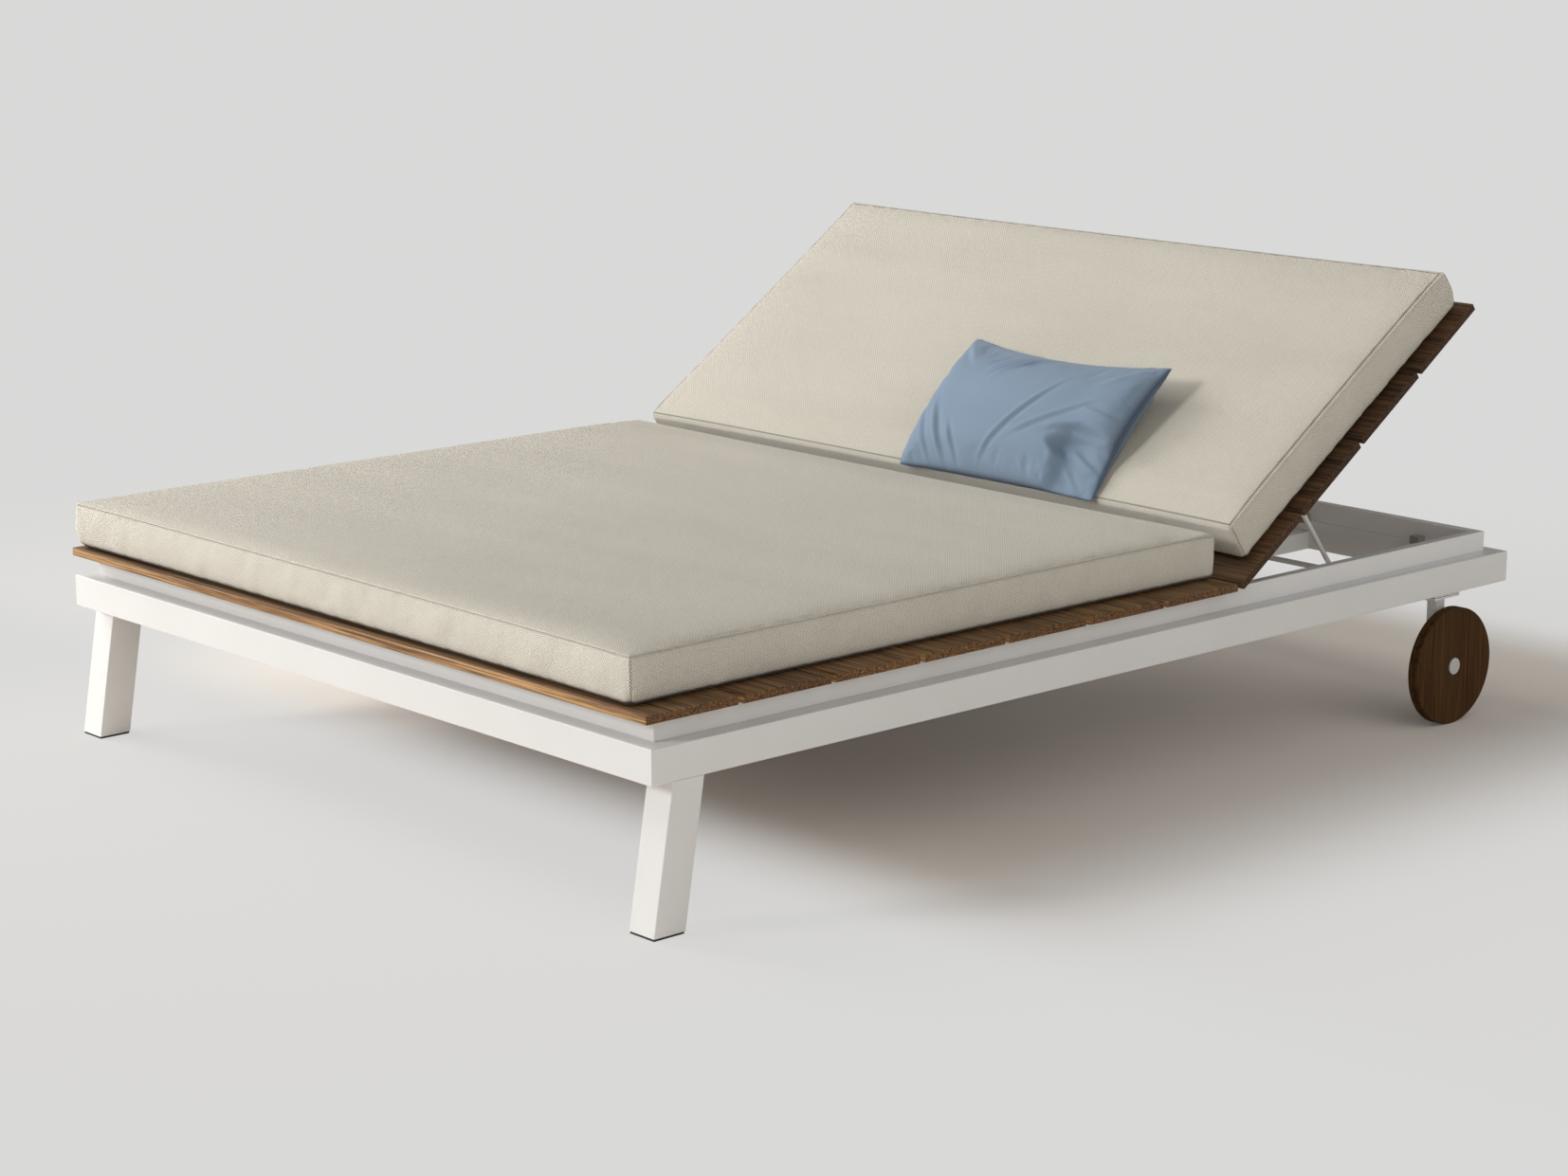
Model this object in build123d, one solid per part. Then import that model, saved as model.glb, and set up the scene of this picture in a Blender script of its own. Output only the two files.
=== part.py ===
from build123d import *
import os
from math import asin, cos, degrees, hypot, radians, sin

# Double chaise lounger on two raked legs and two wooden wheels.
# X is the width, Y runs from the foot end (-Y) to the head end (+Y), Z is up.
# The origin is on the floor under the middle of the whole object. Millimetres.

# Lower frame
frame_width = 1600.0
frame_length = 2065.0
ground_clearance = 238.0
lower_rail_width = 50.0
lower_rail_height = 56.0
lower_rail_wall = 3.0
rail_edge_radius = 1.5

# Upper deck frame, stepped in on the lower frame, inner faces flush
upper_rail_inset = 31.0
upper_rail_height = 37.0
upper_rail_wall = 2.5

# Slats
seat_slat_count = 7
back_slat_count = 4
slat_gap = 9.0
slat_thickness = 14.0
slat_end_setback = 3.5
slat_edge_ease = 1.0
foot_overhang = 6.0
head_overhang = 10.3

# Members under the deck
beam_height = 33.0
beam_width = 30.0
beam_inset = 8.0
member_wall = 2.0
batten_width = 30.0
batten_height = 25.0
cross_tube_width = 40.0
middle_tube_share = 0.45
hinge_tube_setback = 5.0

# Legs
leg_width = 58.0
leg_depth = 61.5
leg_wall = 3.0
leg_top_setback = 41.3
leg_rake = 39.5
glide_thickness = 4.0
glide_margin = 1.5

# Backrest hinge
rest_elevation = 34.4
upright_elevation = 45.0
hinge_gap = 17.0
hinge_drop = 6.0
flat_clearance = 0.4
back_edge_lead = 3.3
pin_radius = 3.0
pin_head_radius = 6.0
pin_head_thickness = 4.0
running_clearance = 0.05
lug_width = 20.0
lug_radius = 5.8
lug_root_depth = 14.0
ear_thickness = 5.0
ear_side_gap = 0.5
ear_root_depth = 26.0

# Back frame
stringer_width = 30.0
stringer_depth = 25.0
stringer_side_margin = 111.0
inner_stringer_share = 0.573
bottom_tube_run = 14.0
back_tube_width = 25.0
head_gap = 1.5

# Prop
prop_pivot_run = 296.5
prop_arm_length = 256.6
foot_bar_radius = 5.0
arm_radius = 4.5
eye_half_width = 5.0
arm_side_gap = 3.0
eye_radius = 11.0
pivot_bolt_radius = 4.0
bolt_head_radius = 7.0
bolt_head_thickness = 4.0
bolt_nut_thickness = 6.0
foot_bar_rise = 46.0
foot_bar_height = ground_clearance + foot_bar_rise
foot_bar_end_gap = 3.0
folded_gap = 1.0

# Racks
rack_thickness = 10.0
rack_height = 26.0
notch_pitch = 40.0
notches_each_way = 2
notch_radius = 6.0
notch_depth = 8.0
rack_end_margin = 18.0
rack_tip_gap = 0.5
rack_screw_head_radius = 5.0
rack_screw_head_height = 3.0
rack_screw_height_share = 0.35
rack_screw_pitch_shares = (-1.5, 1.5)

# Rest blocks
block_width = 20.0
block_depth = 20.0
block_height = 15.0
block_top_gap = 0.3

# Wheels
wheel_radius = 108.0
wheel_thickness = 20.0
wheel_overhang = 21.3
wheel_setback = 176.0
wheel_edge_ease = 1.5
wheel_groove_width = 4.5
wheel_groove_depth = 3.5
axle_radius = 8.0
axle_end_gap = 1.0
axle_collar_radius = 13.0
collar_gap = 0.3
bush_radius = 17.0
cap_radius = 15.0
cap_thickness = 1.8

# Wheel brackets
post_width = 20.0
post_depth = 25.0
post_inset = 15.0
weld_plate_thickness = 1.8
pad_thickness = 1.2
pad_margin = 1.0
plate_thickness = 4.0
plate_length = 72.0
bracket_bolt_head_radius = 6.0
bracket_bolt_head_height = 3.5
bracket_bolt_spread = 48.0

# Cushions
cushion_thickness = 80.0
cushion_seat_gap = 0.3
cushion_crown = 5.0
cushion_side_pull = 4.0
cushion_edge_round = 11.0
cushion_side_shares = (-1.0, -0.5, 0.0, 0.5)
edge_round_shares = ((1.0, 0.0), (0.3, 0.3), (0.0, 1.0))
crown_inset_shares = (0.05, 0.12, 0.22)
crown_height_shares = (0.5, 0.85, 1.0)
seat_cushion_left_margin = 9.0
seat_cushion_right_margin = 52.0
seat_cushion_foot_margin = 9.3
seat_cushion_head_setback = 3.0
back_cushion_left_margin = 35.0
back_cushion_right_margin = 28.0
back_cushion_run = 53.0
back_cushion_head_margin = 12.0

# Pillow
pillow_width = 495.0
pillow_height = 305.0
pillow_centre = 211.0
pillow_foot_run = 46.0
pillow_lift = -0.2
pillow_lean = 12.0
pillow_front_bulge = 66.0
pillow_back_bulge = 17.0
pillow_side_pull = 9.0
pillow_side_shares = (-1.0, -0.9, -0.5, 0.0, 0.5, 0.9)
pillow_back_outline_shares = (0.2, 0.45, 0.7, 0.88)
pillow_back_bulge_shares = (1.0, 0.75, 0.38, 0.15)
pillow_front_outline_shares = (0.95, 0.84, 0.66, 0.42, 0.16)
pillow_front_bulge_shares = (0.3, 0.6, 0.82, 0.96, 1.0)

# Places worked out from the sizes above
foot_face = -(frame_length - foot_overhang) / 2
head_face = foot_face + frame_length
side_face = frame_width / 2
lower_top = ground_clearance + lower_rail_height
deck_height = lower_top + upper_rail_height
inner_side = side_face - lower_rail_width
inner_foot = foot_face + lower_rail_width
inner_head = head_face - lower_rail_width
slat_half_length = side_face - slat_end_setback
deck_span = frame_length + foot_overhang + head_overhang - hinge_gap - back_edge_lead + 2 * slat_gap
slat_pitch = deck_span / (seat_slat_count + back_slat_count)
slat_width = slat_pitch - slat_gap
slats_start = foot_face - foot_overhang
seat_end = slats_start + seat_slat_count * slat_pitch - slat_gap
hinge_y = seat_end + hinge_gap
hinge_z = deck_height - hinge_drop
back_underside = hinge_drop + flat_clearance
stringer_underside = back_underside - stringer_depth
hinge_tube_face = seat_end - hinge_tube_setback
beam_top = ground_clearance + beam_height
batten_underside = deck_height - batten_height
top_tube_end = inner_head - head_gap - hinge_y
top_tube_start = top_tube_end - back_tube_width
outer_stringer_offset = inner_side - stringer_side_margin
inner_stringer_offset = inner_stringer_share * outer_stringer_offset
beam_offset = inner_stringer_offset - beam_inset
hinge_places = (-outer_stringer_offset, outer_stringer_offset)
stringer_places = (hinge_places[0], -inner_stringer_offset, inner_stringer_offset, hinge_places[1])
arm_offset = outer_stringer_offset + stringer_width / 2 + arm_side_gap + eye_half_width
pivot_depth = back_underside - stringer_depth / 2
wheel_y = head_face - wheel_setback
wheel_outer = side_face + wheel_overhang
wheel_inner = wheel_outer - wheel_thickness
back_run = back_edge_lead + back_slat_count * slat_pitch - slat_gap
post_outer = side_face - post_inset
post_inner = post_outer - post_width
pad_top = ground_clearance - weld_plate_thickness
plate_top = pad_top - pad_thickness
plate_underside = plate_top - plate_thickness


def turned(run, depth, angle):
    """Where a point of the flat backrest lies once the backrest stands at an angle."""
    a = radians(angle)
    return hinge_y + run * cos(a) - depth * sin(a), hinge_z + run * sin(a) + depth * cos(a)


pivot_y, pivot_z = turned(prop_pivot_run, pivot_depth, rest_elevation)
arm_angle = -degrees(asin((pivot_z - foot_bar_height) / prop_arm_length))
folded_bar_height = deck_height + flat_clearance - stringer_depth - folded_gap - foot_bar_radius
flat_pivot_z = turned(prop_pivot_run, pivot_depth, 0)[1]
folded_arm_angle = -degrees(asin((flat_pivot_z - folded_bar_height) / prop_arm_length))
fold_ratio = -(folded_arm_angle - arm_angle) / rest_elevation - 1


def foot_bar_place(lift):
    """Centre of the foot bar after the backrest has been lifted by some degrees from rest."""
    y, z = turned(prop_pivot_run, pivot_depth, rest_elevation + lift)
    a = radians(arm_angle + (1 + fold_ratio) * lift)
    return y + prop_arm_length * cos(a), z + prop_arm_length * sin(a)


foot_bar_y = foot_bar_place(0)[0]
travel_steps = 90
travel = upright_elevation / travel_steps
lowest_bar = min(foot_bar_place(step * travel - rest_elevation)[1] for step in range(travel_steps + 1))
rack_top = lowest_bar - foot_bar_radius - rack_tip_gap


def block(x0, x1, y0, y1, z0, z1):
    """Straight block between two corners."""
    return Pos((x0 + x1) / 2, (y0 + y1) / 2, (z0 + z1) / 2) * Box(x1 - x0, y1 - y0, z1 - z0)


def rod(x0, x1, y, z, radius):
    """Round bar along X."""
    return Pos((x0 + x1) / 2, y, z) * Rot(0, 90, 0) * Cylinder(radius, x1 - x0)


def hexagon(x0, x1, y, z, radius):
    """Six-sided head or nut along X."""
    return extrude(Plane.YZ.offset(x0) * Pos(y, z) * RegularPolygon(radius, 6), x1 - x0)


def tube_along_x(x0, x1, y0, y1, z0, z1, wall):
    return block(x0, x1, y0, y1, z0, z1) - block(x0, x1, y0 + wall, y1 - wall, z0 + wall, z1 - wall)


def tube_along_y(x0, x1, y0, y1, z0, z1, wall):
    return block(x0, x1, y0, y1, z0, z1) - block(x0 + wall, x1 - wall, y0, y1, z0 + wall, z1 - wall)


def bracket_outline(margin, z0, z1):
    """Flat block under the right rail, as wide as the rail and centred on the wheel, drawn in by a margin."""
    half = plate_length / 2 - margin
    return block(inner_side + margin, side_face - margin, wheel_y - half, wheel_y + half, z0, z1)


def stand_up(shape):
    """Carries a piece of the flat backrest, drawn from the hinge axis, to its rest position."""
    return Pos(0, hinge_y, hinge_z) * Rot(rest_elevation, 0, 0) * shape


def save(name, shape):
    shape.label = name
    export_step(shape, os.path.join("parts", name + ".step"))


# Mitred rail frames

def side_outline(side, outer, inner):
    """Plan of one side of a mitred frame, between two insets from the frame's outer face."""
    x_out, x_in = side_face - outer, side_face - inner
    foot_out, foot_in = foot_face + outer, foot_face + inner
    head_out, head_in = head_face - outer, head_face - inner
    outlines = {
        "foot": [(-x_out, foot_out), (x_out, foot_out), (x_in, foot_in), (-x_in, foot_in)],
        "head": [(x_out, head_out), (-x_out, head_out), (-x_in, head_in), (x_in, head_in)],
        "left": [(-x_out, head_out), (-x_out, foot_out), (-x_in, foot_in), (-x_in, head_in)],
        "right": [(x_out, foot_out), (x_out, head_out), (x_in, head_in), (x_in, foot_in)],
    }
    return make_face(Polyline(*outlines[side], close=True))


def mitred_rail(side, outer, inner, wall, z0, z1):
    """One box tube of a frame, with its long edges rounded and its ends cut at 45 degrees."""
    body = extrude(Pos(0, 0, z0) * side_outline(side, outer, inner), z1 - z0)
    along = Axis.X if side in ("foot", "head") else Axis.Y
    body = fillet(body.edges().filter_by(along), rail_edge_radius)
    bore = side_outline(side, outer + wall, inner - wall)
    return body - extrude(Pos(0, 0, z0 + wall) * bore, z1 - z0 - 2 * wall)


def weld_plate():
    """Thin plate welded under the right rail where the wheel bracket bolts on."""
    return bracket_outline(0, pad_top, ground_clearance)


def save_rails():
    for side in ("foot", "head", "left", "right"):
        lower = mitred_rail(side, 0, lower_rail_width, lower_rail_wall, ground_clearance, lower_top)
        if side == "right":
            lower = lower + weld_plate()
        if side == "left":
            lower = lower + mirror(weld_plate(), Plane.YZ)
        save("lower_rail_" + side, lower)
        upper = mitred_rail(side, upper_rail_inset, lower_rail_width, upper_rail_wall, lower_top, deck_height)
        save("upper_rail_" + side, upper)


# Beams, cross tubes and battens

def save_deck_members():
    middle_y = inner_foot + middle_tube_share * (hinge_tube_face - inner_foot)
    hinge_tube_start = hinge_tube_face - cross_tube_width
    low, high = batten_underside, deck_height
    for name, place in (("left", -beam_offset), ("right", beam_offset)):
        x0, x1 = place - beam_width / 2, place + beam_width / 2
        beam = tube_along_y(x0, x1, inner_foot, inner_head, ground_clearance, beam_top, member_wall)
        save("beam_" + name, beam)
        x0, x1 = place - batten_width / 2, place + batten_width / 2
        save("batten_" + name, tube_along_y(x0, x1, inner_foot, hinge_tube_start, low, high, member_wall))
    y0, y1 = middle_y - cross_tube_width / 2, middle_y + cross_tube_width / 2
    middle = tube_along_x(-inner_side, inner_side, y0, y1, beam_top, batten_underside, member_wall)
    save("cross_tube_middle", middle)
    hinge = tube_along_x(
        -inner_side, inner_side, hinge_tube_start, hinge_tube_face, beam_top, deck_height, member_wall
    )
    save("cross_tube_hinge", hinge)


# Legs

def raked_block(z0, z1, margin):
    """Right leg's outline between two heights, drawn in by a margin on every side."""
    corners = []
    for height, side in ((z0, 0), (z0, 1), (z1, 1), (z1, 0)):
        shift = leg_rake * (ground_clearance - height) / ground_clearance
        face = foot_face + leg_top_setback - shift
        corners.append((face + leg_depth - margin if side else face + margin, height))
    profile = make_face(Plane.YZ * Polyline(*corners, close=True))
    inner = side_face - leg_width
    return extrude(Pos(inner + margin, 0, 0) * profile, leg_width - 2 * margin, dir=(1, 0, 0))


def leg():
    """Raked box tube, level at both ends."""
    body = raked_block(glide_thickness, ground_clearance, 0)
    corners = [e for e in body.edges() if abs((e @ 1 - e @ 0).Z) > glide_thickness]
    return fillet(corners, rail_edge_radius) - raked_block(glide_thickness, ground_clearance, leg_wall)


def glide():
    return raked_block(0, glide_thickness, glide_margin)


def save_legs():
    right = leg()
    save("leg_right", right)
    save("leg_left", mirror(right, Plane.YZ))
    pad = glide()
    save("leg_glides", Compound(children=[pad, mirror(pad, Plane.YZ)]))


# Slats

def slat(y0, z0):
    body = block(-slat_half_length, slat_half_length, y0, y0 + slat_width, z0, z0 + slat_thickness)
    return chamfer(body.edges(), slat_edge_ease)


def save_slats():
    for i in range(seat_slat_count):
        save(f"seat_slat_{i + 1}", slat(slats_start + i * slat_pitch, deck_height))
    for i in range(back_slat_count):
        save(f"back_slat_{i + 1}", stand_up(slat(back_edge_lead + i * slat_pitch, back_underside)))


# Backrest frame and hinge

def save_back_frame():
    names = ("outer_left", "inner_left", "inner_right", "outer_right")
    run0, run1 = bottom_tube_run + back_tube_width, top_tube_start
    bolt_hole = rod(-side_face, side_face, prop_pivot_run, pivot_depth, pivot_bolt_radius)
    for name, place in zip(names, stringer_places):
        x0, x1 = place - stringer_width / 2, place + stringer_width / 2
        tube = tube_along_y(x0, x1, run0, run1, stringer_underside, back_underside, member_wall)
        if name.startswith("outer"):
            tube = tube - bolt_hole
        save("back_stringer_" + name, stand_up(tube))
    reach = outer_stringer_offset + stringer_width / 2
    low, high = stringer_underside, back_underside
    bottom = tube_along_x(-reach, reach, bottom_tube_run, run0, low, high, member_wall)
    save("back_tube_bottom", stand_up(bottom))
    top = tube_along_x(-reach, reach, run1, top_tube_end, low, high, member_wall)
    save("back_tube_top", stand_up(top))


def lug_profile():
    """Round nose on the hinge axis that widens to the bottom tube."""
    root = Polyline(
        (0, lug_radius),
        (bottom_tube_run, lug_radius),
        (bottom_tube_run, -lug_root_depth),
        (0, -lug_radius),
        close=True,
    )
    return make_face(root) + Circle(lug_radius) - Circle(pin_radius + running_clearance)


def ear_profile():
    """Frame-side cheek of the hinge, from the hinge tube's face to the pin."""
    reach = hinge_tube_face - hinge_y
    corners = [(0, lug_radius), (reach, lug_radius), (reach, -ear_root_depth), (0, -lug_radius)]
    return make_face(Polyline(*corners, close=True)) + Circle(lug_radius) - Circle(pin_radius)


def save_hinges():
    lug = extrude(Plane.YZ * lug_profile(), lug_width / 2, both=True)
    save("hinge_lugs", Compound(children=[stand_up(Pos(x, 0, 0) * lug) for x in hinge_places]))
    ear = extrude(Plane.YZ * ear_profile(), ear_thickness / 2, both=True)
    side = lug_width / 2 + ear_side_gap + ear_thickness / 2
    places = [x + s for x in hinge_places for s in (-side, side)]
    save("hinge_ears", Compound(children=[Pos(x, hinge_y, hinge_z) * ear for x in places]))
    reach = side + ear_thickness / 2
    shank = rod(-reach, reach, 0, 0, pin_radius)
    head = hexagon(reach, reach + pin_head_thickness, 0, 0, pin_head_radius)
    nut = hexagon(-reach - pin_head_thickness, -reach, 0, 0, pin_head_radius)
    bolt = shank + head + nut
    save("hinge_bolts", Compound(children=[Pos(x, hinge_y, hinge_z) * bolt for x in hinge_places]))


# Prop

def save_prop():
    end = inner_side - foot_bar_end_gap
    bar = rod(-end, end, foot_bar_y, foot_bar_height, foot_bar_radius)
    save("prop_foot_bar", bar)
    for name, side in (("left", -1), ("right", 1)):
        x = side * arm_offset
        shaft = Pos(0, prop_arm_length / 2, 0) * Rot(90, 0, 0) * Cylinder(arm_radius, prop_arm_length)
        arm = shaft + rod(-eye_half_width, eye_half_width, 0, 0, eye_radius)
        arm -= rod(-eye_half_width, eye_half_width, 0, 0, pivot_bolt_radius + running_clearance)
        save("prop_arm_" + name, Pos(x, pivot_y, pivot_z) * Rot(arm_angle, 0, 0) * arm - bar)
    face = outer_stringer_offset - stringer_width / 2
    inner = arm_offset - eye_half_width - running_clearance
    outer = arm_offset + eye_half_width + running_clearance
    shank = rod(face - bolt_nut_thickness, outer, 0, 0, pivot_bolt_radius)
    washer = rod(face + stringer_width, inner, 0, 0, bolt_head_radius)
    head = hexagon(outer, outer + bolt_head_thickness, 0, 0, bolt_head_radius)
    nut = hexagon(face - bolt_nut_thickness, face, 0, 0, bolt_head_radius)
    bolt = Pos(0, pivot_y, pivot_z) * (shank + washer + head + nut)
    save("prop_pivot_bolts", Compound(children=[bolt, mirror(bolt, Plane.YZ)]))


# Racks and rest blocks

def rack_profile():
    """Toothed bar along Y: open notches with leaning flanks, one under the foot bar."""
    half = notches_each_way * notch_pitch + rack_end_margin
    low = rack_top - rack_height
    shape = Pos(foot_bar_y, (low + rack_top) / 2) * Rectangle(2 * half, rack_height)
    for i in range(-notches_each_way, notches_each_way + 1):
        place = foot_bar_y + i * notch_pitch
        seat = rack_top - notch_depth + notch_radius
        mouth = Polyline(
            (place + notch_radius, seat),
            (place + notch_radius, rack_top),
            (place - 2 * notch_radius, rack_top),
            (place - notch_radius, seat),
            close=True,
        )
        shape = shape - Pos(place, seat) * Circle(notch_radius) - make_face(mouth)
    return shape


def save_racks():
    face = inner_side - rack_thickness
    plate = Pos(face, 0, 0) * extrude(Plane.YZ * rack_profile(), rack_thickness)
    save("rack_right", plate)
    save("rack_left", mirror(plate, Plane.YZ))
    screw_z = rack_top - (1 - rack_screw_height_share) * rack_height
    places = [foot_bar_y + share * notch_pitch for share in rack_screw_pitch_shares]
    heads = [hexagon(face - rack_screw_head_height, face, y, screw_z, rack_screw_head_radius) for y in places]
    save("rack_screws", Compound(children=heads + [mirror(head, Plane.YZ) for head in heads]))


def save_rest_blocks():
    top = deck_height + flat_clearance - stringer_depth - block_top_gap
    y0, half = inner_head - block_depth, block_width / 2
    pads = [block(x - half, x + half, y0, inner_head, top - block_height, top) for x in stringer_places]
    save("rest_blocks", Compound(children=pads))


# Wheels and their brackets

def wheel_disc():
    """Turned wooden disc with an eased outer rim and a cut groove round its edge, bored for the bush."""
    ease, groove = wheel_edge_ease, wheel_groove_width / 2
    middle = (wheel_inner + wheel_outer) / 2
    rim, floor = wheel_radius, wheel_radius - wheel_groove_depth
    profile = Polyline(
        (wheel_inner, bush_radius),
        (wheel_inner, rim),
        (middle - groove, rim),
        (middle, floor),
        (middle + groove, rim),
        (wheel_outer - ease, rim),
        (wheel_outer, rim - ease),
        (wheel_outer, bush_radius),
        close=True,
    )
    return revolve(make_face(profile), Axis.X)


def bush():
    bore = rod(wheel_inner, wheel_outer, 0, 0, axle_radius + running_clearance)
    return rod(wheel_inner, wheel_outer, 0, 0, bush_radius) - bore


def hub_cap():
    return rod(wheel_outer, wheel_outer + cap_thickness, 0, 0, cap_radius)


def axle():
    """Stub through the post with a collar that keeps the wheel off it."""
    stub = rod(post_inner, wheel_outer - axle_end_gap, 0, 0, axle_radius)
    return stub + rod(post_outer, wheel_inner - collar_gap, 0, 0, axle_collar_radius)


def wheel_bracket():
    """Plate as wide as the rail, with a round-ended post down to the axle."""
    half = post_depth / 2
    post = block(post_inner, post_outer, wheel_y - half, wheel_y + half, wheel_radius, plate_underside)
    nose = rod(post_inner, post_outer, wheel_y, wheel_radius, half)
    bore = rod(post_inner, post_outer, wheel_y, wheel_radius, axle_radius)
    return bracket_outline(0, plate_underside, plate_top) + post + nose - bore


def bracket_bolts():
    """Hexagon heads against the plate's underside, one each side of the post."""
    middle = side_face - lower_rail_width / 2
    head = extrude(RegularPolygon(bracket_bolt_head_radius, 6), -bracket_bolt_head_height)
    places = (wheel_y - bracket_bolt_spread / 2, wheel_y + bracket_bolt_spread / 2)
    return [Pos(middle, y, plate_underside) * head for y in places]


def save_wheels():
    at_axle = Pos(0, wheel_y, wheel_radius)
    for name, shape in (("wheel", wheel_disc()), ("bush", bush()), ("hub_cap", hub_cap()), ("axle", axle())):
        placed = at_axle * shape
        save(name + "_right", placed)
        save(name + "_left", mirror(placed, Plane.YZ))
    bracket = wheel_bracket()
    save("wheel_bracket_right", bracket)
    save("wheel_bracket_left", mirror(bracket, Plane.YZ))
    pad = bracket_outline(pad_margin, plate_top, pad_top)
    save("bracket_pads", Compound(children=[pad, mirror(pad, Plane.YZ)]))
    bolts = bracket_bolts()
    save("bracket_bolts", Compound(children=bolts + [mirror(b, Plane.YZ) for b in bolts]))


# Cushions and pillow

def drawn_outline(width, length, pull, side_shares):
    """Corner and side points of a sewn panel whose four sides are drawn in between the corners."""
    x, y = width / 2, length / 2
    foot = [(t * x, pull * (1 - t * t) - y) for t in side_shares]
    right = [(x - pull * (1 - t * t), t * y) for t in side_shares]
    return foot + right + [(-a, -b) for a, b in foot + right]


def inset_outline(points, inset):
    """The outline moved inwards: each edge stays parallel to itself, so stacked outlines give flat faces."""
    lines = []
    for (x0, y0), (x1, y1) in zip(points, points[1:] + points[:1]):
        long = hypot(x1 - x0, y1 - y0)
        nx, ny = (y0 - y1) / long, (x1 - x0) / long
        lines.append((nx, ny, nx * x0 + ny * y0 + inset))
    moved = []
    for (a0, b0, c0), (a1, b1, c1) in zip(lines[-1:] + lines[:-1], lines):
        cross = a0 * b1 - a1 * b0
        moved.append(((c0 * b1 - c1 * b0) / cross, (a0 * c1 - a1 * c0) / cross))
    return moved


def stacked(levels):
    """Solid with flat faces between outlines at their heights, lowest first."""
    rings = [[Vector(x, y, height) for x, y in points] for points, height in levels]
    faces = [Face(Wire.make_polygon(ring)) for ring in (rings[0], rings[-1])]
    for low, high in zip(rings, rings[1:]):
        for a, b, c, d in zip(low, low[1:] + low[:1], high[1:] + high[:1], high):
            faces.append(Face(Wire.make_polygon([a, b, c, d])))
    return Solid(Shell(faces))


def box_cushion(width, length):
    """Boxed foam cushion: rounded edges, drawn-in sides and a low crown."""
    top = cushion_thickness
    rim = [(share * cushion_edge_round, rise * cushion_edge_round) for share, rise in edge_round_shares]
    insets = rim + [(inset, top - rise) for inset, rise in reversed(rim)]
    for inset_share, height_share in zip(crown_inset_shares, crown_height_shares):
        insets.append((inset_share * length, top + height_share * cushion_crown))
    plan = drawn_outline(width, length, cushion_side_pull, cushion_side_shares)
    return stacked([(inset_outline(plan, inset), height) for inset, height in insets])


def pillow():
    """Knife-edge pillow, stacked from its back to its front; foot seam on the X axis."""
    plan = drawn_outline(pillow_width, pillow_height, pillow_side_pull, pillow_side_shares)
    back = zip(pillow_back_outline_shares, pillow_back_bulge_shares)
    front = zip(pillow_front_outline_shares, pillow_front_bulge_shares)
    levels = [(share, -bulge * pillow_back_bulge) for share, bulge in back]
    levels.append((1, 0))
    levels += [(share, bulge * pillow_front_bulge) for share, bulge in front]
    body = stacked([([(share * x, share * y) for x, y in plan], height) for share, height in levels])
    return Pos(0, pillow_height / 2, 0) * body


def save_soft_parts():
    seat_start = slats_start + seat_cushion_foot_margin
    seat_length = seat_end - seat_cushion_head_setback - seat_start
    seat_width = frame_width - seat_cushion_left_margin - seat_cushion_right_margin
    seat_shift = (seat_cushion_left_margin - seat_cushion_right_margin) / 2
    seat_z = deck_height + slat_thickness + cushion_seat_gap
    seat_middle = Pos(seat_shift, seat_start + seat_length / 2, seat_z)
    save("seat_cushion", seat_middle * box_cushion(seat_width, seat_length))
    bed = back_underside + slat_thickness + cushion_seat_gap
    back_length = back_run - back_cushion_head_margin - back_cushion_run
    back_width = frame_width - back_cushion_left_margin - back_cushion_right_margin
    back_shift = (back_cushion_left_margin - back_cushion_right_margin) / 2
    back = Pos(back_shift, back_cushion_run + back_length / 2, bed) * box_cushion(back_width, back_length)
    save("back_cushion", stand_up(back))
    foot = Pos(pillow_centre, pillow_foot_run, bed + cushion_thickness + pillow_lift)
    save("pillow", stand_up(foot * Rot(pillow_lean, 0, 0) * pillow()))


os.makedirs("parts", exist_ok=True)
save_rails()
save_deck_members()
save_legs()
save_slats()
save_back_frame()
save_hinges()
save_prop()
save_racks()
save_rest_blocks()
save_wheels()
save_soft_parts()
print("hinge axis", round(hinge_y, 2), round(hinge_z, 2))
print("prop pivot", round(pivot_y, 3), round(pivot_z, 3), "fold ratio", round(fold_ratio, 5))
print("foot bar", round(foot_bar_y, 2), "lowest", round(lowest_bar, 2), "rack top", round(rack_top, 2))
print("wheel axle", round(wheel_y, 2), wheel_radius)
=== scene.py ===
# %% [markdown]
# A double chaise lounger, dressed for its picture. The metal and wooden parts come
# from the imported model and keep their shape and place. They only get finishes here.
# The two cushions and the pillow are sewn goods, so they are made in this file.

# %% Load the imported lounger
import math
import bpy
import numpy as np
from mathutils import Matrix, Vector
from mathutils.kdtree import KDTree


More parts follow.
